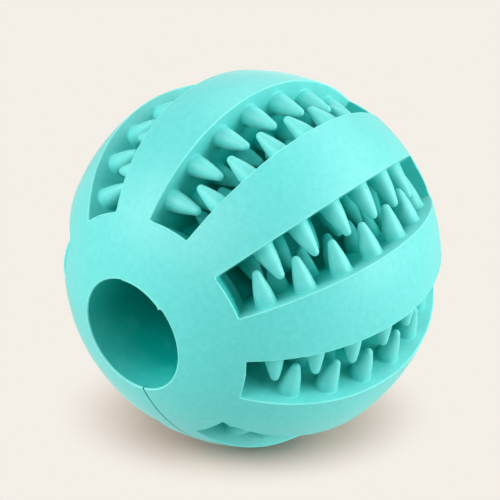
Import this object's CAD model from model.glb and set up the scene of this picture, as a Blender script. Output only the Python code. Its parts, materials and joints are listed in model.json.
"""Looks of the treat dispensing ball: its rubber halves, their bond, floor, light and camera."""
import json
import logging
import math
import random
from collections.abc import Callable, Mapping, Sequence
from dataclasses import dataclass, field
from enum import Enum

import bmesh
import bpy
import numpy as np
from mathutils import Matrix, Vector
from mathutils.geometry import delaunay_2d_cdt


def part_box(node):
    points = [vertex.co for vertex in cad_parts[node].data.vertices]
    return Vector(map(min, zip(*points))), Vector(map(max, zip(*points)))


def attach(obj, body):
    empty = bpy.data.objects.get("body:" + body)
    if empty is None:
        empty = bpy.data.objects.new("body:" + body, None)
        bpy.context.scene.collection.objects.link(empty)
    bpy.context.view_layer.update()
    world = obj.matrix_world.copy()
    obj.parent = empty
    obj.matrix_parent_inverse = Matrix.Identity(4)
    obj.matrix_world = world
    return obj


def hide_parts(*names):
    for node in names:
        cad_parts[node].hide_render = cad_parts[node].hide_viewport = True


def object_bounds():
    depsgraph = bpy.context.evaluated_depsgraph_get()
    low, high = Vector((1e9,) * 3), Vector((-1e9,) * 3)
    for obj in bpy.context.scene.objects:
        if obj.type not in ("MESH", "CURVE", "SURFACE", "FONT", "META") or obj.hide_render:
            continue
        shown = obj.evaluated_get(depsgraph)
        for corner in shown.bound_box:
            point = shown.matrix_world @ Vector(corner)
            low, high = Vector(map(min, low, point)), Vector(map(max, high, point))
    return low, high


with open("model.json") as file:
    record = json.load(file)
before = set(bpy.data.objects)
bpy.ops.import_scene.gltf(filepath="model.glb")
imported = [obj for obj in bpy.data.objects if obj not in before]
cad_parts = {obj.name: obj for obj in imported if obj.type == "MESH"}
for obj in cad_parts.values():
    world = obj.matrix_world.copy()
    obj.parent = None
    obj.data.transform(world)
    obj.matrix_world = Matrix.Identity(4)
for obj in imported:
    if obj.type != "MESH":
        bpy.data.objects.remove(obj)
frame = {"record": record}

LOG = logging.getLogger("treat_ball")
CAD_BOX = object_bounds()
MM = 0.001
ROOT_BODY = "root"
RUB = "rub"
QUARTER = math.pi / 2
# Points spread inside an outline stay this share of their spacing off its edges
EDGE_SHARE = 0.6
# Flat points that are no farther apart are one point
WELD = 1e-9


class Wall(Enum):
    """The long walls of a slot, as seen from the mouth with the slot at the top."""

    LEFT = 1
    RIGHT = -1


class Half(Enum):
    """The half mouldings, each with its turn in degrees from the one clockwise of the seam."""

    RIGHT = 0
    LEFT = 180


def linear_colour(hex_colour: str) -> tuple[float, float, float, float]:
    """Turns an sRGB hex colour to the linear values that a shader takes.

    Args:
        hex_colour: a colour such as "#7de7e1".

    Returns:
        Linear red, green, blue and an alpha of 1.
    """
    shares = [int(hex_colour[i:i + 2], 16) / 255 for i in (1, 3, 5)]
    linear = [s / 12.92 if s <= 0.04045 else ((s + 0.055) / 1.055) ** 2.4 for s in shares]
    return (*linear, 1.0)


def add_node(
    tree: bpy.types.NodeTree,
    kind: str,
    settings: Mapping[str | int, object],
    links: Mapping[str | int, bpy.types.NodeSocket],
) -> bpy.types.Node:
    """Adds one node to a tree with its settings and its incoming links.

    Args:
        tree: the node tree.
        kind: the node's type, such as "ShaderNodeBump".
        settings: values by the name of a node's own property, or by an input's name or number.
        links: sockets that feed an input, by the input's name or number.

    Returns:
        The new node.
    """
    node = tree.nodes.new(kind)
    for key, value in settings.items():
        if isinstance(key, int) or key in node.inputs:
            node.inputs[key].default_value = value
        else:
            setattr(node, key, value)
    for key, source in links.items():
        tree.links.new(source, node.inputs[key])
    return node


def bearing(azimuth: float, elevation: float) -> Vector:
    """Gives the unit vector to an azimuth, in degrees from -Y towards +X, and an elevation."""
    turn, rise = math.radians(azimuth), math.radians(elevation)
    return Vector((math.sin(turn) * math.cos(rise), -math.cos(turn) * math.cos(rise), math.sin(rise)))


def empty_material(name: str) -> bpy.types.Material:
    """Makes a material whose node tree is still empty.

    Args:
        name: the material's name.

    Returns:
        The new material.
    """
    material = bpy.data.materials.new(name)
    material.use_nodes = True
    material.node_tree.nodes.clear()
    return material


def put(name: str, data: bpy.types.ID) -> bpy.types.Object:
    """Puts an object into the scene.

    Args:
        name: the object's name.
        data: its mesh, lamp or camera.

    Returns:
        The new object.
    """
    made = bpy.data.objects.new(name, data)
    bpy.context.scene.collection.objects.link(made)
    return made


def columns(*parts: float | np.ndarray) -> np.ndarray:
    """Sets coordinates side by side, one point a row. A lone number holds for every row."""
    return np.stack(np.broadcast_arrays(*parts), axis=1)


def around(
    radius: float | np.ndarray, azimuth: float | np.ndarray, height: float | np.ndarray
) -> np.ndarray:
    """Gives points from distances to the mouth's axis, angles round it and heights along it."""
    return columns(radius * np.cos(azimuth), radius * np.sin(azimuth), height)


def directions(polar: float | np.ndarray, azimuth: np.ndarray) -> np.ndarray:
    """Gives unit vectors from angles to the mouth's axis, along +Z, and round it."""
    return around(np.sin(polar), azimuth, np.cos(polar))


def eased(share: float | np.ndarray) -> float | np.ndarray:
    """Eases shares from 0 to 1, and holds what lies outside at the ends."""
    held = np.clip(share, 0, 1)
    return held * held * (3 - 2 * held)


def rounded(corner: np.ndarray, start: np.ndarray, end: np.ndarray, steps: int) -> list[np.ndarray]:
    """Draws the quarter rounds that replace sharp corners.

    Args:
        corner: the sharp corners.
        start: where each round leaves the first surface.
        end: where each round meets the second surface.
        steps: how many steps a round is drawn in.

    Returns:
        The points at the start, after each step and so at the end.
    """
    turns = [i / steps * QUARTER for i in range(steps + 1)]
    return [
        corner + (start - corner) * (1 - math.sin(turn)) + (end - corner) * (1 - math.cos(turn))
        for turn in turns
    ]


def inside(points: np.ndarray, loops: Sequence[np.ndarray]) -> np.ndarray:
    """Tests which flat points lie inside an outline and outside its holes.

    Args:
        points: one flat point a row.
        loops: the corners of the outline and then of each hole, in order.

    Returns:
        True for each point that is inside.
    """
    hits = np.zeros(len(points), dtype=bool)
    x, y = points.T
    for loop in loops:
        for (x0, y0), (x1, y1) in zip(loop, np.roll(loop, -1, axis=0)):
            if y0 != y1:
                hits ^= ((y0 > y) != (y1 > y)) & (x < (x1 - x0) * (y - y0) / (y1 - y0) + x0)
    return hits


def off_edges(points: np.ndarray, loops: Sequence[np.ndarray], spacing: float) -> np.ndarray:
    """Keeps the points that aren't close to an outline or a hole.

    Args:
        points: one point a row, spread evenly.
        loops: the corners of the outline and of each hole.
        spacing: the distance between neighbouring points.

    Returns:
        The points that are left.
    """
    gap = spacing * EDGE_SHARE
    for post in np.concatenate(loops):
        points = points[((points - post) ** 2).sum(axis=1) > gap * gap]
    return points


def spread(loops: Sequence[np.ndarray], spacing: float) -> np.ndarray:
    """Spreads flat points evenly inside an outline and outside its holes.

    Args:
        loops: the corners of the outline and then of each hole, in order.
        spacing: the distance between neighbouring points.

    Returns:
        One flat point a row.
    """
    low, high = loops[0].min(axis=0), loops[0].max(axis=0)
    lines = [np.arange(low[i] + spacing / 2, high[i], spacing) for i in (0, 1)]
    points = np.stack(np.meshgrid(*lines), axis=-1).reshape(-1, 2)
    return off_edges(points[inside(points, loops)], loops, spacing)


class Skin:
    """Collects the points and faces of one closed rubber skin, in millimetres."""

    def __init__(self) -> None:
        """Starts with nothing."""
        self.points: list[np.ndarray] = []
        self.rubs: list[float] = []
        self.faces: list[tuple[int, ...]] = []

    def ring(self, points: np.ndarray, rub: float | np.ndarray = 0.0) -> list[int]:
        """Adds points.

        Args:
            points: one point a row.
            rub: how pale the rubber is rubbed there, from 0 to 1.

        Returns:
            The points' numbers.
        """
        first = len(self.points)
        self.points.extend(points)
        self.rubs.extend(np.broadcast_to(rub, len(points)))
        return list(range(first, len(self.points)))

    def at(self, numbers: Sequence[int]) -> np.ndarray:
        """Returns the points with these numbers, one a row."""
        return np.array([self.points[i] for i in numbers])

    def band(self, first: Sequence[int], second: Sequence[int], closed: bool = True) -> None:
        """Joins two rows of points with four-sided faces.

        Args:
            first: the numbers of one row.
            second: as many numbers of the other row.
            closed: whether the rows run round and join up.
        """
        for i in range(len(first) if closed else len(first) - 1):
            j = (i + 1) % len(first)
            self.faces.append((first[i], first[j], second[j], second[i]))

    def bands(self, rings: Sequence[Sequence[int]], closed: bool = True) -> None:
        """Joins each row of points to the next one."""
        for first, second in zip(rings, rings[1:]):
            self.band(first, second, closed)

    def fan(self, ring: Sequence[int], apex: int) -> None:
        """Closes a ring with three-sided faces to one point."""
        for i, number in enumerate(ring):
            self.faces.append((number, ring[(i + 1) % len(ring)], apex))

    def fill(
        self,
        loops: Sequence[Sequence[int]],
        flatten: Callable[[np.ndarray], np.ndarray],
        extra: Sequence[int] = (),
    ) -> None:
        """Fills an outline that may have holes with well-shaped triangles.

        Args:
            loops: the numbers of the outline's points and then of each hole's, in order.
            flatten: maps points in space to the plane that they are joined in.
            extra: the numbers of points to take in between them.
        """
        numbers: list[int] = []
        edges = []
        spans = []
        for loop in loops:
            first, count = len(numbers), len(loop)
            spans.append(slice(first, first + count))
            edges += [(first + i, first + (i + 1) % count) for i in range(count)]
            numbers += loop
        numbers += extra
        # Vectors hold single precision, and slivers are told apart only in the same numbers
        flat = flatten(self.at(numbers)).astype(np.float32).astype(float)
        corners = [Vector(point) for point in flat]
        made, _, triangles, sources, _, _ = delaunay_2d_cdt(corners, edges, [], 0, WELD)
        spots = np.array([list(point) for point in made])
        middles = spots[np.array([list(triangle) for triangle in triangles])].mean(axis=1)
        for triangle, kept in zip(triangles, inside(middles, [flat[span] for span in spans])):
            if kept:
                self.faces.append(tuple(numbers[sources[i][0]] for i in triangle))

    def make(self, name: str, place: Matrix) -> bpy.types.Object:
        """Makes the object, facing outwards, with normals that the larger faces lead.

        Args:
            name: the object's name.
            place: takes the skin's own frame to the ball's.

        Returns:
            The new object, in metres.
        """
        mesh = bpy.data.meshes.new(name)
        mesh.from_pydata([list(point) for point in self.points], [], self.faces)
        mesh.transform(place @ Matrix.Scale(MM, 4))
        shape = bmesh.new()
        shape.from_mesh(mesh)
        bmesh.ops.recalc_face_normals(shape, faces=shape.faces)
        open_edges = sum(1 for edge in shape.edges if not edge.is_manifold)
        shape.to_mesh(mesh)
        shape.free()
        rub = mesh.attributes.new(RUB, "FLOAT", "POINT")
        rub.data.foreach_set("value", np.array(self.rubs, dtype=np.float32))
        mesh.shade_smooth()
        normals = np.zeros((len(mesh.vertices), 3))
        for polygon in mesh.polygons:
            normals[list(polygon.vertices)] += np.array(polygon.normal) * polygon.area
        normals /= np.linalg.norm(normals, axis=1, keepdims=True)
        mesh.normals_split_custom_set_from_vertices([tuple(normal) for normal in normals])
        made = put(name, mesh)
        LOG.info("%s: %d faces, %d open edges", name, len(mesh.polygons), open_edges)
        return made


@dataclass(frozen=True)
class Wear:
    """How pale the rubber is rubbed, from 0 where nothing reaches to 1 on trimmed flash.

    A slot's end walls and its long walls have their own rub. That of the long walls and of the
    bore fades to 0 at a depth under the ball's outside, in millimetres. A tooth takes on the rub
    of its row over tooth_root, in millimetres. Rubber gets its gloss and veil from glossy to ribs.
    """

    ribs: float = 0.7
    flash: float = 1.0
    wall: float = 0.68
    end_wall: float = 0.28
    fade_depth: float = 11.5
    bore: float = 0.3
    bore_fade_depth: float = 10.0
    glossy: float = 0.5
    tooth_root: float = 2.5

    def below(self, depth: np.ndarray) -> np.ndarray:
        """Gives the rub of a slot's walls at depths under the ball's outside, in millimetres."""
        return self.wall * (1 - eased(depth / self.fade_depth))

    def along_bore(self, depth: np.ndarray) -> np.ndarray:
        """Gives the rub of the bore's wall at depths under the ball's outside, in millimetres."""
        return self.bore * (1 - eased(depth / self.bore_fade_depth))


@dataclass(frozen=True)
class SeamSizes:
    """Sizes of the seam in millimetres: bonded flush, with a fine groove on its open side."""

    film: float = 0.2
    film_slack: float = 0.01
    groove_depth: float = 0.4
    ledge: float = 0.1
    shoulder: float = 0.2
    closed_gap: float = 0.002
    closed_round: float = 0.004
    open_gap: float = 0.11
    open_round: float = 0.1
    open_from: float = 2.0
    open_to: float = 9.0
    open_depth: float = 0.8

    def openness(self, aside: np.ndarray, depth: np.ndarray) -> np.ndarray:
        """Gives how open the seam is, from 0 to 1, from places to its open side and depths."""
        across = eased((aside - self.open_from) / (self.open_to - self.open_from))
        return across * eased(1 - depth / self.open_depth)

    def gap(self, openness: np.ndarray) -> np.ndarray:
        """Gives half the width of the gap."""
        return self.closed_gap + (self.open_gap - self.closed_gap) * openness

    def edge(self, openness: np.ndarray) -> np.ndarray:
        """Gives the radius of the rounded edges on both sides of the gap."""
        return self.closed_round + (self.open_round - self.closed_round) * openness


@dataclass(frozen=True)
class ToothSizes:
    """Sizes of the teeth of one row, in millimetres, and the steps that they are drawn in."""

    row_r: float
    length: float
    foot_r: float
    rub: float
    foot_fillet: float = 0.35
    bulge: float = 0.14
    tip_r: float = 0.85
    segments: int = 28
    foot_steps: int = 3
    flank_steps: int = 7
    tip_steps: int = 5

    @property
    def flank(self) -> float:
        """The angle of the flank to the tooth's axis, in radians."""
        return math.asin((self.foot_r - self.tip_r) / (self.length - self.tip_r))

    @property
    def hole_r(self) -> float:
        """The radius of the circle in which the foot's fillet meets the wall."""
        return self.foot_r + self.foot_fillet * (1 / math.cos(self.flank) - math.tan(self.flank))

    def section(self, length: float) -> list[tuple[float, float]]:
        """Gives radius and height up the tooth, from the wall to just short of the apex.

        Args:
            length: this tooth's own length, near the row's.

        Returns:
            Radius and height pairs, the first of them on the wall.
        """
        points = []
        for i in range(self.foot_steps + 1):
            turn = 3 * QUARTER - i / self.foot_steps * (QUARTER - self.flank)
            height = self.foot_fillet * (1 + math.sin(turn))
            points.append((self.hole_r + self.foot_fillet * math.cos(turn), height))
        low_r, low = points[-1]
        high_r = self.tip_r * math.cos(self.flank)
        high = length - self.tip_r * (1 - math.sin(self.flank))
        for i in range(1, self.flank_steps):
            share = i / self.flank_steps
            swell = self.bulge * math.sin(share * math.pi)
            points.append((low_r + (high_r - low_r) * share + swell, low + (high - low) * share))
        for i in range(self.tip_steps):
            turn = self.flank + i / self.tip_steps * (QUARTER - self.flank)
            points.append((self.tip_r * math.cos(turn), length - self.tip_r * (1 - math.sin(turn))))
        return points


@dataclass(frozen=True)
class BallSizes:
    """Sizes of the ball in millimetres and degrees. Those with no value come from the frame."""

    ball_r: float
    bore_r: float
    chamber_floor: float
    tube_wall: float = 4.1
    seam_lean: float = 13.3
    mouth_round: float = 0.45
    mouth_neck: float = 0.9
    lip_rise: float = 0.25
    bottom_round: float = 1.5
    slots: int = 4
    swapped_slot: int = 2
    slot_angle: float = 22.5
    slot_start: float = 39.2
    slot_corner: float = 0.35
    slot_lip: float = 0.28
    slot_lip_spread: float = 0.05
    floor_fillet: float = 0.25
    foot_gap: float = 0.08
    grid: float = 1.1
    tooth_margin: float = 9.4
    tooth_pitch: float = 14.2
    long_row: int = 7
    outer_teeth: ToothSizes = ToothSizes(31.2, 6.7, 2.15, 0.76)
    inner_teeth: ToothSizes = ToothSizes(24.5, 5.8, 2.05, 0.4)
    seam: SeamSizes = SeamSizes()
    wear: Wear = Wear()

    @classmethod
    def from_frame(cls) -> "BallSizes":
        """Reads the ball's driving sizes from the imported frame.

        Returns:
            The sizes, in millimetres.
        """
        low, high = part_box("right_half")
        ball_r, mouth = high[1] / MM, -low[1] / MM
        bore = next(m["dims"] for m in frame["record"]["mounts"] if m["name"] == "treat_bore")
        chamfer = math.sqrt(ball_r ** 2 - mouth ** 2) - bore["r_mm"]
        return cls(ball_r, bore["r_mm"], mouth - chamfer - bore["length_mm"])

    @property
    def tube_r(self) -> float:
        """The radius of the slots' floor, round the mouth's axis."""
        return self.bore_r + self.tube_wall

    @property
    def slot_pitch(self) -> float:
        """The angle between neighbouring slots, in degrees."""
        return 180 / self.slots

    @property
    def slot_end(self) -> float:
        """The angle from the mouth's axis to the far end of each slot, in degrees."""
        return self.slot_start + 2 * self.tooth_margin + (self.long_row - 1) * self.tooth_pitch

    def depth(self, points: np.ndarray) -> np.ndarray:
        """Gives how deep points lie under the ball's outside."""
        return self.ball_r - np.linalg.norm(points, axis=1)

    def place(self, turn: float = 0.0) -> Matrix:
        """Turns what is drawn with the mouth up and the seam along X to the way the ball lies."""
        lean = math.radians(90 + self.seam_lean + turn)
        return Matrix.Rotation(QUARTER, 4, "X") @ Matrix.Rotation(lean, 4, "Z")


@dataclass(frozen=True)
class SlotFit:
    """How one slot came out of the mould: shifts in degrees, and how ragged its near end is."""

    left_start: float = 0.0
    right_start: float = 0.0
    drift: float = 0.0
    ragged: float = 0.0


@dataclass
class ToothedSlot:
    """One slot of a half: its lip, walls, floor and four rows of teeth.

    Points stand closer along its ends, by end_density, and farther apart on its walls, by
    wall_grid. The waves are the fewest and the most round the outline. The flash hangs over by
    about hang, with a few burrs, and is ragged where the outline faces the near end. A tooth
    leans by about lean, and its length differs by up to stretch. Lengths are in millimetres.
    """

    sizes: BallSizes
    number: int
    fit: SlotFit
    rng: random.Random
    skin: Skin
    lip_steps: int = 4
    wall_steps: int = 6
    floor_steps: int = 2
    corner_steps: int = 3
    end_density: int = 2
    wall_grid: float = 1.3
    end_facing: float = 0.9
    wave_lines: int = 5
    lip_waves: tuple[int, int] = (3, 17)
    hang_waves: tuple[int, int] = (20, 60)
    ragged_waves: tuple[int, int] = (18, 50)
    burrs: int = 4
    burr: float = 0.3
    hang: float = 0.04
    lean: float = 0.12
    stretch: float = 0.1
    turn: float = field(init=False)
    rows: np.ndarray = field(init=False)
    walls: dict[Wall, slice] = field(init=False)

    def __post_init__(self) -> None:
        """Works out the slot's place and its outline."""
        self.turn = math.radians((0.5 - self.number) * self.sizes.slot_pitch)
        self.rows, self.walls = self.outline_rows()

    def outline_rows(self) -> tuple[np.ndarray, dict[Wall, slice]]:
        """Draws the line that the slot's outline keeps its corner radius from.

        Returns:
            Rows of polar angle, azimuth and the two parts of the direction outwards, and
            the stretch of rows that makes each long wall.
        """
        s = self.sizes
        half = math.radians(s.slot_angle / 2)
        inset = s.slot_corner / s.ball_r
        left = math.radians(s.slot_start + self.fit.left_start) + inset
        right = math.radians(s.slot_start + self.fit.right_start) + inset
        far = math.radians(s.slot_end) - inset

        def reach(polar: float) -> float:
            """Returns the line's azimuth along a long wall."""
            return half - inset / math.sin(polar)

        count = round((far - left) * s.ball_r / s.grid)
        wide = 2 * half * math.sin(left) * s.ball_r
        across = np.linspace(1, -1, round(self.end_density * wide / s.grid))
        near = (left + right + across * (right - left)) / 2
        stretches = [
            [(polar, reach(polar)) for polar in np.linspace(left, far, count)],
            [(far, share * reach(far)) for share in across],
            [(polar, -reach(polar)) for polar in np.linspace(far, right, count)],
            [(polar, -share * reach(polar)) for polar, share in zip(near, across)],
        ]
        rows: list[tuple[float, float, float, float]] = []
        spans = []
        for quarter, stretch in enumerate(stretches):
            turn = quarter * QUARTER
            spans.append(slice(len(rows), len(rows) + len(stretch)))
            rows += [(*spot, math.sin(turn), math.cos(turn)) for spot in stretch]
            for i in range(1, self.corner_steps):
                bend = turn + i / self.corner_steps * QUARTER
                rows.append((*stretch[-1], math.sin(bend), math.cos(bend)))
        return np.array(rows), {Wall.LEFT: spans[0], Wall.RIGHT: spans[2]}

    def outline(self, grow: float | np.ndarray) -> tuple[np.ndarray, np.ndarray]:
        """Gives the outline, grown from its line.

        Args:
            grow: how far, in millimetres along the ball's outside.

        Returns:
            Its polar angles and its azimuths.
        """
        polar, azimuth, along, across = self.rows.T
        ball_r = self.sizes.ball_r
        return polar + grow * along / ball_r, azimuth + grow * across / (ball_r * np.sin(polar))

    def turned(self, points: np.ndarray, way: int = 1) -> np.ndarray:
        """Turns points between the way they are drawn, along +X, and the slot's place.

        Args:
            points: one point a row.
            way: 1 to the slot's place, or -1 back.

        Returns:
            The turned points.
        """
        cosine, sine = math.cos(self.turn), way * math.sin(self.turn)
        x = points[:, 0] * cosine - points[:, 1] * sine
        y = points[:, 0] * sine + points[:, 1] * cosine
        return columns(x, y, points[:, 2])

    def walled(self, points: np.ndarray, endwise: float = 0.0) -> list[int]:
        """Adds points of the walls or the floor with the rub of their depth.

        Args:
            points: the points, drawn along +X.
            endwise: 1 on an end wall of the slot, 0 on a long wall and between in a corner.

        Returns:
            The points' numbers.
        """
        wear = self.sizes.wear
        rub = wear.below(self.sizes.depth(points))
        return self.skin.ring(self.turned(points), rub + (wear.end_wall - rub) * endwise)

    def waves(self, lowest: int, highest: int) -> np.ndarray:
        """Gives a smooth random line round the outline, about 1 high and deep.

        Args:
            lowest: the fewest waves round the outline.
            highest: the most.

        Returns:
            One value for each row of the outline.
        """
        share = np.linspace(0, 2 * math.pi, len(self.rows), endpoint=False)
        lines = [
            np.sin(share * self.rng.randint(lowest, highest) + self.rng.uniform(0, 2 * math.pi))
            for _ in range(self.wave_lines)
        ]
        return sum(lines) / 2

    def flash(self) -> np.ndarray:
        """Draws the flash that hangs over the slot's edge.

        Returns:
            How far the edge's sharp corner moves inwards at each row of the outline.
        """
        reach = self.hang * np.abs(self.waves(*self.hang_waves))
        near_end = self.rows[:, 2] < -self.end_facing
        reach += self.fit.ragged * np.abs(self.waves(*self.ragged_waves)) * near_end
        for _ in range(self.burrs):
            reach[self.rng.randrange(len(reach))] += self.burr
        return reach

    def cut(self) -> list[int]:
        """Draws the slot into the skin.

        Returns:
            The numbers of the lip's outer edge, where the ball's outside takes over.
        """
        s = self.sizes
        lip = s.slot_lip + s.slot_lip_spread * self.waves(*self.lip_waves)
        ways = directions(*self.outline(s.slot_corner))
        corner = (s.ball_r + s.lip_rise) * directions(*self.outline(s.slot_corner - self.flash()))
        outer = s.ball_r * directions(*self.outline(s.slot_corner + lip))
        top = (s.ball_r - lip)[:, None] * ways
        endwise = np.abs(self.rows[:, 2])
        last_rub = s.wear.wall + (s.wear.end_wall - s.wear.wall) * endwise
        rubs = [s.wear.ribs, *[s.wear.flash] * (self.lip_steps - 1), last_rub]
        rings = [
            self.skin.ring(self.turned(points), rub)
            for points, rub in zip(rounded(corner, outer, top, self.lip_steps), rubs)
        ]
        foot = ways * (s.tube_r / np.hypot(ways[:, 0], ways[:, 1]))[:, None]
        azimuth = np.arctan2(ways[:, 1], ways[:, 0]) - self.rows[:, 3] * s.floor_fillet / s.tube_r
        height = foot[:, 2] + self.rows[:, 2] * s.floor_fillet
        floor = around(s.tube_r, azimuth, height)
        bottom = foot + s.floor_fillet * ways
        low_rings = [self.walled(points) for points in rounded(foot, bottom, floor, self.floor_steps)]
        self.skin.bands(rings)
        self.skin.bands(low_rings)
        self.raise_walls(rings[-1], low_rings[0])
        self.lay_floor(low_rings[-1])
        return rings[0]

    def raise_walls(self, top: list[int], bottom: list[int]) -> None:
        """Draws the slot's walls: the long ones with teeth, the ends and corners plain.

        Args:
            top: the numbers of the ring under the lip.
            bottom: the numbers of the ring over the floor's fillet.
        """
        toothed = {row for span in self.walls.values() for row in range(span.start + 1, span.stop - 1)}
        shares = np.linspace(0, 1, self.wall_steps + 1)[1:-1, None]
        posts: dict[int, list[int]] = {}
        for row in range(len(top)):
            if row not in toothed:
                high, low = self.turned(self.skin.at((top[row], bottom[row])), -1)
                spots = high + shares * (low - high)
                posts[row] = [top[row], *self.walled(spots, abs(self.rows[row, 2])), bottom[row]]
        for row, post in posts.items():
            beside = posts.get((row + 1) % len(top))
            if beside:
                self.skin.band(post, beside, closed=False)
        for wall, span in self.walls.items():
            first, last = posts[span.start], posts[span.stop - 1]
            outline = top[span] + last[1:-1] + bottom[span][::-1] + first[-2:0:-1]
            loops = [outline, *self.grow_teeth(wall)]
            fences = [self.wall_plane(self.skin.at(loop)) for loop in loops]
            flat = spread(fences, self.sizes.grid * self.wall_grid)
            spots = around(flat[:, 0], self.wall_azimuth(wall), flat[:, 1])
            self.skin.fill(loops, self.wall_plane, self.walled(spots))

    def wall_azimuth(self, wall: Wall) -> float:
        """Gives the azimuth of a long wall, in radians, with the slot along +X."""
        return wall.value * math.radians(self.sizes.slot_angle / 2)

    @staticmethod
    def wall_plane(points: np.ndarray) -> np.ndarray:
        """Maps points of a long wall to distance from the mouth's axis and along it."""
        return columns(np.hypot(points[:, 0], points[:, 1]), points[:, 2])

    def grow_teeth(self, wall: Wall) -> list[list[int]]:
        """Draws the two rows of teeth of a long wall.

        Args:
            wall: the wall that carries them.

        Returns:
            The numbers of the circle round each tooth's foot.
        """
        s = self.sizes
        outer_is_long = (wall is Wall.LEFT) != (self.number == s.swapped_slot)
        feet = []
        for teeth, is_long in ((s.outer_teeth, outer_is_long), (s.inner_teeth, not outer_is_long)):
            first = s.slot_start + s.tooth_margin + self.fit.drift
            first += 0 if is_long else s.tooth_pitch / 2
            foot_low = s.tube_r + s.floor_fillet + s.foot_gap + teeth.hole_r
            nearest = math.asin(foot_low / teeth.row_r)
            for i in range(s.long_row if is_long else s.long_row - 1):
                polar = math.radians(first + i * s.tooth_pitch)
                polar = min(max(polar, nearest), math.pi - nearest)
                feet.append(self.grow_tooth(wall, teeth, polar))
        return feet

    def grow_tooth(self, wall: Wall, teeth: ToothSizes, polar: float) -> list[int]:
        """Draws one tooth, square to its wall, a little leaning as soft rubber cures.

        Args:
            wall: the wall that carries the tooth.
            teeth: the sizes of its row.
            polar: its angle from the mouth's axis.

        Returns:
            The numbers of the circle round its foot.
        """
        s = self.sizes
        azimuth = self.wall_azimuth(wall)
        out = np.array([math.cos(azimuth), math.sin(azimuth), 0.0])
        along = np.array([0.0, 0.0, 1.0])
        into = -wall.value * np.array([-math.sin(azimuth), math.cos(azimuth), 0.0])
        middle = teeth.row_r * (math.sin(polar) * out + math.cos(polar) * along)
        length = teeth.length + self.rng.uniform(-self.stretch, self.stretch)
        sway = self.rng.gauss(0, self.lean) * out + self.rng.gauss(0, self.lean) * along
        turns = np.linspace(0, 2 * math.pi, teeth.segments, endpoint=False)[:, None]
        circle = np.cos(turns) * out + np.sin(turns) * along
        rings = []
        for radius, height in teeth.section(length):
            spots = middle + height * into + (height / length) ** 2 * sway + radius * circle
            wall_rub = s.wear.below(s.depth(spots))
            rub = wall_rub + (teeth.rub - wall_rub) * eased(height / s.wear.tooth_root)
            rings.append(self.skin.ring(self.turned(spots), rub))
        apex = self.skin.ring(self.turned((middle + length * into + sway)[None, :]), teeth.rub)
        self.skin.bands(rings)
        self.skin.fan(rings[-1], apex[0])
        return rings[0]

    def lay_floor(self, ring: list[int]) -> None:
        """Draws the slot's floor, the round outside of the treat chamber's wall.

        Args:
            ring: the numbers of the floor's edge.
        """
        s = self.sizes

        def unrolled(points: np.ndarray) -> np.ndarray:
            """Maps points of the floor to distance round and along the mouth's axis."""
            back = self.turned(points, -1)
            return columns(np.arctan2(back[:, 1], back[:, 0]) * s.tube_r, points[:, 2])

        flat = spread([unrolled(self.skin.at(ring))], s.grid)
        spots = around(s.tube_r, flat[:, 0] / s.tube_r, flat[:, 1])
        self.skin.fill([ring], unrolled, self.walled(spots))


@dataclass(frozen=True)
class RimFlash:
    """A flap of flash left on the mouth's edge, in degrees round it and millimetres."""

    span: float
    low: float
    high: float
    nick: float = 0.0
    nick_span: float = 1.6

    def reach(self, azimuth: np.ndarray) -> np.ndarray:
        """Gives how far the flap stands into the mouth.

        Args:
            azimuth: places round the mouth's axis, in radians.

        Returns:
            One distance for each place.
        """
        along = -np.degrees(azimuth)
        flap = np.interp(along, (0, self.span), (self.low, self.high), right=0.0)
        return flap + self.nick * np.exp(-(((along - self.span) / self.nick_span) ** 2))


@dataclass(frozen=True)
class HalfFit:
    """How one half came out: its seed, the side where its seam is open, its slots and its rim."""

    seed: int
    open_side: int
    slots: tuple[SlotFit, ...]
    rim: RimFlash


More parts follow.
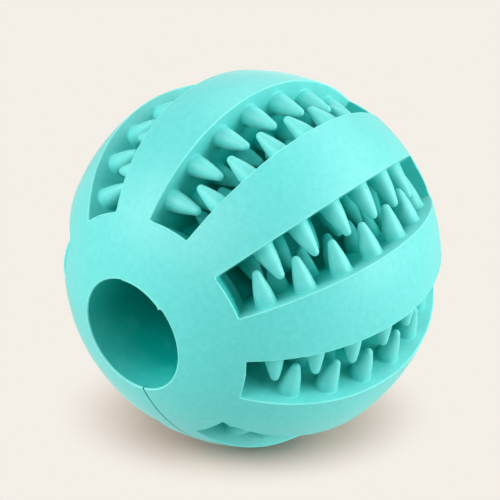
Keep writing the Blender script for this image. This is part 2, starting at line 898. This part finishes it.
@dataclass
class HalfMoulding:
    """One half of the ball: ribs, slots with teeth, half of the mouth and of the chamber.

    Its outside is drawn in circles of points, circle_step of the grid apart.
    """

    sizes: BallSizes
    half: Half
    fit: HalfFit
    sides: int = 120
    lip_steps: int = 5
    bore_steps: int = 14
    bottom_steps: int = 4
    round_steps: int = 3
    circle_step: float = 0.9
    skin: Skin = field(default_factory=Skin)

    def profile(self) -> tuple[np.ndarray, np.ndarray, np.ndarray, np.ndarray]:
        """Draws the mouth's lip, the chamber's wall and the round at its bottom.

        Returns:
            Distances from and along the mouth's axis, the directions into the rubber, the
            rub, and the share of the flash on the rim that each row takes.
        """
        s = self.sizes
        rim = math.asin(s.bore_r / s.ball_r)
        outer = rim + s.mouth_round / s.ball_r
        sharp = np.array([s.bore_r, s.ball_r * math.cos(rim)])
        start = s.ball_r * np.array([math.sin(outer), math.cos(outer)])
        throat = sharp - [0, s.mouth_round]
        raised = sharp + [0, s.lip_rise]
        points = rounded(raised, start, throat, self.lip_steps)
        neck = throat - [0, s.mouth_neck]
        side = np.array([s.bore_r, s.chamber_floor + s.bottom_round])
        points += [neck + (side - neck) * i / self.bore_steps for i in range(self.bore_steps)]
        corner = side - [0, s.bottom_round]
        foot = corner - [s.bottom_round, 0]
        points += rounded(corner, side, foot, self.bottom_steps)
        spots = np.array(points)
        run = np.gradient(spots, axis=0)
        inwards = columns(-run[:, 1], run[:, 0])
        inwards /= np.linalg.norm(inwards, axis=1, keepdims=True)
        middle = throat + [s.mouth_round * math.tan((QUARTER - rim) / 2), 0]
        for i in range(1, self.lip_steps + 1):
            inwards[i] = (middle - spots[i]) / np.linalg.norm(middle - spots[i])
        inwards[0] = -start / s.ball_r
        inwards[-1] = (0, -1)
        rubs = s.wear.along_bore(s.depth(spots))
        rubs[0] = s.wear.ribs
        rubs[1:self.lip_steps] = s.wear.flash
        flash = np.zeros(len(spots))
        flash[1:self.lip_steps + 1] = 1
        return spots, inwards, rubs, flash

    def trims(self, aside: np.ndarray, depth: np.ndarray) -> np.ndarray:
        """Gives how far from the middle of the seam the half's own skin ends.

        Args:
            aside: places along X.
            depth: depths under the ball's outside.

        Returns:
            One distance for each place.
        """
        seam = self.sizes.seam
        openness = seam.openness(aside * self.fit.open_side, depth)
        return seam.gap(openness) + seam.edge(openness)

    def revolve(self) -> tuple[list[list[int]], np.ndarray]:
        """Draws the mouth's lip and the chamber round its axis.

        Returns:
            The numbers of each row, and the directions into the rubber of the profile.
        """
        spots, inwards, rubs, flash = self.profile()
        depth = self.sizes.depth(spots)
        near, far = (self.trims(side * spots[:, 0], depth) for side in (1, -1))
        rows = []
        for (radius, height), start, end, rub, share in zip(spots, near, far, rubs, flash):
            first, last = math.asin(start / radius), math.pi - math.asin(end / radius)
            turns = -np.linspace(first, last, self.sides + 1)
            radii = radius - share * self.fit.rim.reach(turns)
            rows.append(self.skin.ring(around(radii, turns, height), rub))
        self.skin.bands(rows, closed=False)
        return rows, inwards

    def seam_arc(self, first: int, last: int) -> tuple[list[int], np.ndarray]:
        """Draws where the seam runs over the ball's outside, from the mouth to the mouth.

        Args:
            first: the number of the point at the mouth on the +X side.
            last: the number of the point at the mouth on the other side.

        Returns:
            The numbers along the arc, and the directions into the rubber.
        """
        s = self.sizes
        ends = self.skin.at((first, last))
        start, end = (math.atan2(point[0], point[2]) % (2 * math.pi) for point in ends)
        turns = np.linspace(start, end, round((end - start) * s.ball_r / s.grid))[1:-1]
        aside = s.ball_r * np.sin(turns)
        trim = self.trims(aside, np.zeros(len(turns)))
        radius = np.sqrt(s.ball_r ** 2 - trim ** 2)
        points = columns(radius * np.sin(turns), -trim, radius * np.cos(turns))
        return self.skin.ring(points, s.wear.ribs), -columns(np.sin(turns), np.cos(turns))

    def draw(self) -> None:
        """Draws the whole skin of the half, with the mouth up and the seam along X."""
        s = self.sizes
        rows, inwards = self.revolve()
        arc, arc_inwards = self.seam_arc(rows[0][0], rows[0][-1])
        wide, trim, height = self.skin.points[rows[-1][0]]
        line = np.linspace(-wide, wide, round(2 * wide / s.grid))[1:-1]
        bottom = self.skin.ring(columns(line, trim, height))
        self.skin.fill([rows[-1] + bottom], lambda points: points[:, :2])
        rng = random.Random(self.fit.seed)
        openings = [
            ToothedSlot(s, number, fit, rng, self.skin).cut()
            for number, fit in enumerate(self.fit.slots, start=1)
        ]
        self.stretch_outside([[rows[0][0], *arc, *rows[0][:0:-1]], *openings])
        right, left = ([row[i] for row in rows] for i in (0, -1))
        loop = [right[0], *arc, *left, *bottom, *right[:0:-1]]
        downwards = np.tile((0.0, -1.0), (len(bottom), 1))
        parts = [inwards[:1], arc_inwards, inwards * (-1, 1), downwards, inwards[:0:-1]]
        self.close_seam(loop, np.concatenate(parts))

    def stretch_outside(self, loops: list[list[int]]) -> None:
        """Draws the outside of the ball between the seam, the mouth and the slots.

        Args:
            loops: the numbers of the edge at the seam and the mouth, and then of each slot's.
        """
        s = self.sizes

        def map_of_ball(points: np.ndarray) -> np.ndarray:
            """Maps the outside of the half to a plane, with shapes kept."""
            ways = points / np.linalg.norm(points, axis=1, keepdims=True)
            return ways[:, (0, 2)] / (1 - ways[:, 1:2])

        step = self.circle_step * s.grid / s.ball_r
        circles = []
        for number, polar in enumerate(np.arange(step, math.pi, step)):
            count = max(1, round(2 * math.pi * math.sin(polar) * s.ball_r / s.grid))
            azimuth = (np.arange(count) + number % 2 / 2) * 2 * math.pi / count
            circles.append(s.ball_r * directions(polar, azimuth))
        points = np.concatenate(circles)
        points = points[points[:, 1] < 0]
        fences = [self.skin.at(loop) for loop in loops]
        points = points[inside(map_of_ball(points), [map_of_ball(fence) for fence in fences])]
        extra = self.skin.ring(off_edges(points, fences, s.grid), s.wear.ribs)
        self.skin.fill(loops, map_of_ball, extra)

    def close_seam(self, loop: list[int], inwards: np.ndarray) -> None:
        """Rounds the half's edge at the seam and draws its flat bonding face.

        Args:
            loop: the numbers of the edge all round the seam.
            inwards: for each, the direction into the rubber, across and along the mouth's axis.
        """
        seam = self.sizes.seam
        start = self.skin.at(loop)
        into = columns(inwards[:, 0], 0.0, inwards[:, 1])
        openness = seam.openness(start[:, 0] * self.fit.open_side, self.sizes.depth(start))
        line = start * (1, 0, 1)
        corner = line - seam.gap(openness)[:, None] * (0, 1, 0)
        end = corner + seam.edge(openness)[:, None] * into
        ledge = corner + seam.ledge * into
        shoulder = line + seam.shoulder * into - (0, seam.film / 2, 0)
        rows = [*rounded(corner, start, end, self.round_steps)[1:], ledge, shoulder]
        rings = [loop, *(self.skin.ring(points) for points in rows)]
        self.skin.bands(rings)
        self.skin.fill(rings[-1:], lambda points: points[:, (0, 2)])

    def build(self) -> bpy.types.Object:
        """Makes the half in its place in the ball.

        Returns:
            The new object.
        """
        name = self.half.name.lower()
        self.draw()
        made = self.skin.make(f"{name}_half_moulding", self.sizes.place(self.half.value))
        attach(made, ROOT_BODY)
        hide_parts(f"{name}_half")
        return made


@dataclass
class CementFilm:
    """The cured film between the halves, from the chamber's wall out to the seam's groove."""

    sizes: BallSizes
    arc_steps: int = 160

    def build(self) -> bpy.types.Object:
        """Makes the film in its place in the ball.

        Returns:
            The new object.
        """
        s = self.sizes
        radius = s.ball_r - s.seam.groove_depth
        wide = s.bore_r + s.seam.groove_depth
        low = s.chamber_floor - s.seam.groove_depth
        start = math.asin(wide / radius)
        turns = np.linspace(start, 2 * math.pi - start, self.arc_steps)
        arc = radius * columns(np.sin(turns), np.cos(turns))
        outline = np.concatenate([arc, [(-wide, low), (wide, low)]])
        skin = Skin()
        faces = []
        for side in (-1, 1):
            depth = side * (s.seam.film / 2 - s.seam.film_slack)
            faces.append(skin.ring(columns(outline[:, 0], depth, outline[:, 1])))
            skin.fill(faces[-1:], lambda points: points[:, (0, 2)])
        skin.band(*faces)
        made = skin.make("seam_cement_film", s.place())
        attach(made, ROOT_BODY)
        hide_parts("seam_cement")
        return made


@dataclass(frozen=True)
class Noise:
    """A noise in a finish: its size in millimetres, its detail, and where it starts and is full."""

    size_mm: float
    detail: float
    low: float = 0.0
    high: float = 1.0

    @property
    def look(self) -> dict[str, float]:
        """The settings of its node."""
        return {"Scale": 1 / (self.size_mm * MM), "Detail": self.detail}


@dataclass(frozen=True)
class MouldedRubber:
    """Natural rubber, pigmented and compression-moulded.

    Its filler and the mould's blasted walls give the eye a soft, silky matt skin with a pale
    veil at grazing angles and faint cloudy mottling. What hands and floors rub goes paler, the
    trimmed flash palest, and sheltered rubber keeps its full colour with a few dull patches.
    """

    rubbed_colour: str = "#64e3dd"
    cloud_colour: str = "#6ce8e3"
    sheltered_colour: str = "#04b8ae"
    dull_colour: str = "#3cc6bd"
    flash_colour: str = "#94f8f0"
    cloud: Noise = Noise(1.2, 6.0, 0.35, 0.65)
    patch: Noise = Noise(3.5, 1.0, 0.55, 0.75)
    patch_share: float = 0.5
    ripple: Noise = Noise(3.5, 1.0)
    ripple_strength: float = 0.25
    ripple_depth_mm: float = 0.05
    # The grain is about 0.1 mm on such a mould, and is drawn coarser so that it shows
    grain: Noise = Noise(0.35, 2.0)
    grain_strength: float = 0.5
    grain_depth_mm: float = 0.02
    smoothest: float = 0.46
    roughest: float = 0.58
    ior: float = 1.5
    sheltered_gloss: float = 0.05
    rubbed_gloss: float = 0.9
    flash_gloss: float = 0.05
    rubbed_sheen: float = 0.36
    sheen_roughness: float = 0.4

    def make(self, wear: Wear) -> bpy.types.Material:
        """Makes the rubber's material.

        Args:
            wear: the levels of rub that the pieces carry.

        Returns:
            The new material.
        """
        material = empty_material("natural_rubber_matt_moulded")
        tree = material.node_tree
        place = add_node(tree, "ShaderNodeTexCoord", {}, {}).outputs["Object"]
        rub = add_node(tree, "ShaderNodeAttribute", {"attribute_name": RUB}, {}).outputs["Fac"]
        cloud, patch, grain, ripple = (
            add_node(tree, "ShaderNodeTexNoise", noise.look, {"Vector": place}).outputs["Fac"]
            for noise in (self.cloud, self.patch, self.grain, self.ripple)
        )
        cloudy, dull, rubbed, trimmed, gloss, sheen, rough = (
            add_node(
                tree,
                "ShaderNodeMapRange",
                {"From Min": low, "From Max": high, "To Min": first, "To Max": last},
                {"Value": value},
            ).outputs["Result"]
            for value, low, high, first, last in (
                (cloud, self.cloud.low, self.cloud.high, 0, 1),
                (patch, self.patch.low, self.patch.high, 0, self.patch_share),
                (rub, 0, wear.ribs, 0, 1),
                (rub, wear.ribs, wear.flash, 0, 1),
                (rub, wear.glossy, wear.ribs, self.sheltered_gloss, self.rubbed_gloss),
                (rub, wear.glossy, wear.ribs, 0, self.rubbed_sheen),
                (grain, self.grain.low, self.grain.high, self.smoothest, self.roughest),
            )
        )
        gloss, sheen = (
            add_node(tree, "ShaderNodeMix", {3: cut}, {"Factor": trimmed, 2: worn}).outputs["Result"]
            for worn, cut in ((gloss, self.flash_gloss), (sheen, 0.0))
        )
        ribs, sheltered = (
            add_node(
                tree,
                "ShaderNodeMix",
                {"data_type": "RGBA", 6: linear_colour(plain), 7: linear_colour(spotted)},
                {"Factor": share},
            ).outputs[2]
            for plain, spotted, share in (
                (self.rubbed_colour, self.cloud_colour, cloudy),
                (self.sheltered_colour, self.dull_colour, dull),
            )
        )
        blend = {"data_type": "RGBA"}
        skin = add_node(tree, "ShaderNodeMix", blend, {"Factor": rubbed, 6: sheltered, 7: ribs})
        blend[7] = linear_colour(self.flash_colour)
        colour = add_node(tree, "ShaderNodeMix", blend, {"Factor": trimmed, 6: skin.outputs[2]})
        normal = {}
        for height, strength, depth_mm in (
            (ripple, self.ripple_strength, self.ripple_depth_mm),
            (grain, self.grain_strength, self.grain_depth_mm),
        ):
            relief = {"Strength": strength, "Distance": depth_mm * MM}
            bump = add_node(tree, "ShaderNodeBump", relief, {"Height": height, **normal})
            normal = {"Normal": bump.outputs["Normal"]}
        shader = add_node(
            tree,
            "ShaderNodeBsdfPrincipled",
            {"IOR": self.ior, "Sheen Roughness": self.sheen_roughness},
            {
                "Base Color": colour.outputs[2],
                "Roughness": rough,
                "Specular IOR Level": gloss,
                "Sheen Weight": sheen,
                **normal,
            },
        )
        add_node(tree, "ShaderNodeOutputMaterial", {}, {"Surface": shader.outputs["BSDF"]})
        return material


@dataclass(frozen=True)
class CuredCement:
    """Rubber cement, brushed on and cured. It shows as a darker, slightly glossy thin line."""

    colour: str = "#10766f"
    streak_colour: str = "#1d8c84"
    streaks: Noise = Noise(1.2, 2.0)
    roughness: float = 0.4
    ior: float = 1.5

    def make(self) -> bpy.types.Material:
        """Makes the cement's material.

        Returns:
            The new material.
        """
        material = empty_material("rubber_cement_cured")
        tree = material.node_tree
        place = add_node(tree, "ShaderNodeTexCoord", {}, {}).outputs["Object"]
        streaks = add_node(tree, "ShaderNodeTexNoise", self.streaks.look, {"Vector": place})
        tint = add_node(
            tree,
            "ShaderNodeMix",
            {"data_type": "RGBA", 6: linear_colour(self.colour), 7: linear_colour(self.streak_colour)},
            {"Factor": streaks.outputs["Fac"]},
        )
        shader = add_node(
            tree,
            "ShaderNodeBsdfPrincipled",
            {"Roughness": self.roughness, "IOR": self.ior},
            {"Base Color": tint.outputs[2]},
        )
        add_node(tree, "ShaderNodeOutputMaterial", {}, {"Surface": shader.outputs["BSDF"]})
        return material


@dataclass(frozen=True)
class SoftLamp:
    """One softbox aimed at the ball: where it stands, in degrees and metres, and its light."""

    name: str
    azimuth: float
    elevation: float
    watts: float
    distance: float = 1.0
    size: float = 0.6

    def make(self) -> None:
        """Makes the lamp."""
        back = bearing(self.azimuth, self.elevation)
        lamp = bpy.data.lights.new(self.name, "AREA")
        lamp.shape = "DISK"
        lamp.size = self.size
        lamp.energy = self.watts
        made = put(self.name, lamp)
        made.location = back * self.distance
        made.rotation_euler = back.to_track_quat("Z", "Y").to_euler()


@dataclass(frozen=True)
class PaperFloor:
    """Matt paper, uncoated and pressed flat, which gives the eye an even, pale and dull ground.

    The camera sees its shade only near the ball, and clean paper beyond. The shaded zone is an
    oval, in metres across the camera's view, towards it and aside of the ball, and it is full out
    to shaded_share of its reach. There the paper is written redder and darker, because aqua
    rubber throws light back on it. The ball's underside gets the bounce colour from the paper.
    """

    paper_colour: str = "#f4efe7"
    shaded_colour: str = "#efcabd"
    bounce_colour: str = "#b4dad8"
    size: float = 3.0
    across: float = 0.0365
    towards_camera: float = 0.025
    aside: float = -0.0015
    shaded_share: float = 0.46

    def lay(self, azimuth: float) -> None:
        """Makes the floor that the ball lies on.

        Args:
            azimuth: the camera's, in degrees, which the shaded zone is in line with.
        """
        mesh = bpy.data.meshes.new("paper_floor")
        half = self.size / 2
        corners = [(-half, -half, 0), (half, -half, 0), (half, half, 0), (-half, half, 0)]
        mesh.from_pydata(corners, [], [(0, 1, 2, 3)])
        floor = put("paper_floor", mesh)
        floor.location.z = CAD_BOX[0][2]
        material = empty_material("matt_paper")
        tree = material.node_tree
        place = add_node(tree, "ShaderNodeTexCoord", {}, {}).outputs["Object"]
        oval = {
            "vector_type": "TEXTURE",
            "Location": bearing(azimuth + 90, 0) * self.aside,
            "Rotation": (0.0, 0.0, math.radians(azimuth)),
            "Scale": (self.across, self.towards_camera, 1.0),
        }
        zone = add_node(tree, "ShaderNodeMapping", oval, {"Vector": place}).outputs["Vector"]
        away = add_node(tree, "ShaderNodeVectorMath", {"operation": "LENGTH"}, {0: zone})
        clean = add_node(
            tree,
            "ShaderNodeMapRange",
            {"interpolation_type": "SMOOTHSTEP", "From Min": self.shaded_share, "From Max": 1.0},
            {"Value": away.outputs["Value"]},
        )
        paper, shaded, glow = (
            add_node(tree, kind, {"Color": linear_colour(colour)}, {}).outputs[0]
            for kind, colour in (
                ("ShaderNodeBsdfDiffuse", self.bounce_colour),
                ("ShaderNodeBsdfDiffuse", self.shaded_colour),
                ("ShaderNodeEmission", self.paper_colour),
            )
        )
        seen = add_node(tree, "ShaderNodeMixShader", {}, {0: clean.outputs["Result"], 1: shaded, 2: glow})
        rays = add_node(tree, "ShaderNodeLightPath", {}, {})
        share = rays.outputs["Is Camera Ray"]
        for kind in ("Is Glossy Ray", "Is Transmission Ray"):
            both = add_node(tree, "ShaderNodeMath", {"operation": "ADD"}, {0: share, 1: rays.outputs[kind]})
            share = both.outputs["Value"]
        mix = add_node(tree, "ShaderNodeMixShader", {}, {0: share, 1: paper, 2: seen.outputs["Shader"]})
        add_node(tree, "ShaderNodeOutputMaterial", {}, {"Surface": mix.outputs["Shader"]})
        mesh.materials.append(material)


@dataclass(frozen=True)
class Studio:
    """The pale floor, the soft light and the camera at the photograph's angle.

    The camera is given in the photograph's pixels, and its distance in radii of the ball.
    """

    sizes: BallSizes
    floor: PaperFloor = PaperFloor()
    frame_px: float = 500.0
    ball_px: tuple[float, float] = (252.5, 258.5)
    focal_px: float = 8157.7
    distance_share: float = 43.24
    sensor_mm: float = 36.0
    clip: tuple[float, float] = (0.05, 10.0)
    azimuth: float = 41.6
    elevation: float = 33.9
    lamps: tuple[SoftLamp, ...] = (
        SoftLamp("softbox_left", -48.0, 30.0, 5.1),
        SoftLamp("softbox_front_left", 0.0, 40.0, 3.7),
        SoftLamp("softbox_front_high", 0.0, 62.0, 1.3),
        SoftLamp("softbox_front_right", 85.0, 35.0, 0.9),
        SoftLamp("softbox_right", 132.0, 30.0, 3.7),
        SoftLamp("softbox_right_low", 120.0, 10.0, 4.2),
        SoftLamp("softbox_back_right", 170.0, 35.0, 2.7),
        SoftLamp("softbox_back", 221.6, 40.0, 2.1),
    )

    def light(self) -> None:
        """Makes the lamps in a dark room, so that they alone light the ball."""
        world = bpy.data.worlds.new("studio_light")
        world.use_nodes = True
        world.node_tree.nodes["Background"].inputs["Strength"].default_value = 0.0
        bpy.context.scene.world = world
        for lamp in self.lamps:
            lamp.make()

    def aim_camera(self) -> None:
        """Makes the camera at the photograph's angle, with the ball where it shows it."""
        back = bearing(self.azimuth, self.elevation)
        right = bearing(self.azimuth + 90, 0)
        up = back.cross(right)
        distance = self.distance_share * self.sizes.ball_r * MM
        aside = (self.frame_px / 2 - self.ball_px[0]) / self.focal_px * distance
        above = (self.ball_px[1] - self.frame_px / 2) / self.focal_px * distance
        camera = bpy.data.cameras.new("camera")
        camera.sensor_width = self.sensor_mm
        camera.lens = self.sensor_mm * self.focal_px / self.frame_px
        camera.clip_start, camera.clip_end = self.clip
        made = put("camera", camera)
        made.location = back * distance + right * aside + up * above
        made.rotation_euler = back.to_track_quat("Z", "Y").to_euler()
        bpy.context.scene.camera = made

    def build(self) -> None:
        """Makes the whole studio."""
        bpy.context.scene.view_settings.view_transform = "Standard"
        self.aim_camera()
        self.floor.lay(self.azimuth)
        self.light()


# How the halves came out, as the photograph shows it. The left half's slots are hidden there
FITS = {
    Half.RIGHT: HalfFit(
        seed=11,
        open_side=-1,
        slots=(
            SlotFit(left_start=-0.6, right_start=0.5, drift=-0.9),
            SlotFit(left_start=-0.2, right_start=0.8, drift=0.6),
            SlotFit(left_start=0.5, right_start=0.3, drift=0.2),
            SlotFit(left_start=0.3, right_start=0.3, ragged=0.7),
        ),
        rim=RimFlash(span=51.0, low=0.15, high=0.55, nick=0.4, nick_span=1.3),
    ),
    Half.LEFT: HalfFit(
        seed=191,
        open_side=1,
        slots=(SlotFit(), SlotFit(), SlotFit(), SlotFit(left_start=-0.5, right_start=-0.4)),
        rim=RimFlash(span=60.0, low=0.05, high=0.0),
    ),
}


def main() -> None:
    """Builds the ball round the frame, then its studio."""
    logging.basicConfig(level=logging.INFO, format="%(name)s: %(message)s")
    sizes = BallSizes.from_frame()
    LOG.info("sizes: %s", sizes)
    Studio(sizes).build()
    rubber = MouldedRubber().make(sizes.wear)
    for half, fit in FITS.items():
        HalfMoulding(sizes, half, fit).build().data.materials.append(rubber)
    CementFilm(sizes).build().data.materials.append(CuredCement().make())


if __name__ == "__main__":
    main()
